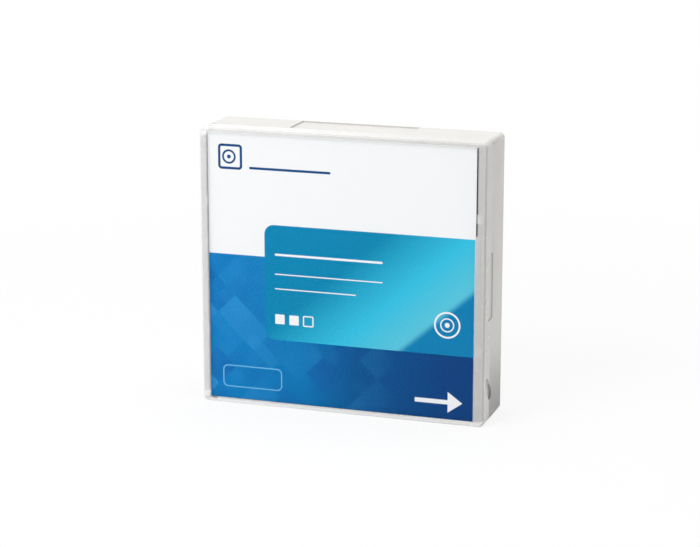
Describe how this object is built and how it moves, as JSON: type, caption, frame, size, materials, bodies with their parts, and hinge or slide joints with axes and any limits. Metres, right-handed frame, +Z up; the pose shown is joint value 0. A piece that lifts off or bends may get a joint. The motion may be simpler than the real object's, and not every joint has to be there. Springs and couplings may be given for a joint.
{
  "type": "data tape cartridge in storage case",
  "caption": "Flat hinged clear case with a printed front card, holding a single-reel data tape cartridge with sliding door and brake.",
  "frame": {"origin": "middle of the case's base, on the surface it stands on", "axes": "+X to the right along the width, +Y to the rear through the thickness, +Z up"},
  "size_m": [0.118, 0.027, 0.113],
  "materials": {
    "clear_lid": "clear, smooth",
    "frosted_tray": "translucent, fine satin",
    "card": "printed, coated",
    "shell": "fine spark texture",
    "door": "satin",
    "reel_plastic": "moulded, glass filled",
    "flange": "moulded",
    "tape": "wound tape edge",
    "steel": "plated",
    "spring_steel": "drawn wire",
    "white_plastic": "acetal",
    "red_plastic": "moulded",
    "board": "circuit board"
  },
  "bodies": {
    "case": {"case_tray": "frosted_tray", "upper_shell": "shell", "lower_shell": "shell", "shell_screws": "steel", "leader_tape": "tape", "leader_pin": "steel", "tape_clip": "white_plastic", "pin_clip_rear": "spring_steel", "pin_clip_front": "spring_steel", "memory_chip": "board"},
    "lid": {"case_lid": "clear_lid", "insert_card": "card"},
    "door": {"access_door": "door", "door_spring": "spring_steel"},
    "reel": {"reel_hub": "reel_plastic", "reel_upper_flange": "flange", "clutch_plate": "steel", "tape_pack": "tape"},
    "release": {"release_pad": "white_plastic"},
    "brake": {"brake_button": "white_plastic", "brake_spring": "spring_steel"},
    "write_tab": {"write_protect_tab": "red_plastic"}
  },
  "joints": [
    {"name": "lid_hinge", "type": "hinge", "parent": "case", "child": "lid", "pos_m": [-0.0554, -0.0098, 0.0565], "axis": [0, 0, -1], "range_deg": [0, 110]},
    {"name": "door_slide", "type": "slide", "parent": "case", "child": "door", "axis": [0, 0, 1], "range_m": [0, 0.021], "deforming": ["door_spring"]},
    {"name": "reel_spin", "type": "hinge", "parent": "case", "child": "reel", "pos_m": [0.0027, 0, 0.0565], "axis": [0, -1, 0], "continuous": true},
    {"name": "brake_lift", "type": "slide", "parent": "case", "child": "brake", "axis": [0, -1, 0], "range_m": [0, 0.0015], "deforming": ["brake_spring"]},
    {"name": "release_lift", "type": "slide", "parent": "reel", "child": "release", "axis": [0, -1, 0], "range_m": [0, 0.0015]},
    {"name": "write_tab_slide", "type": "slide", "parent": "case", "child": "write_tab", "axis": [1, 0, 0], "range_m": [0, 0.005]}
  ],
  "couplings": [
    {"joint": "release_lift", "follows": "brake_lift", "ratio": 1}
  ]
}
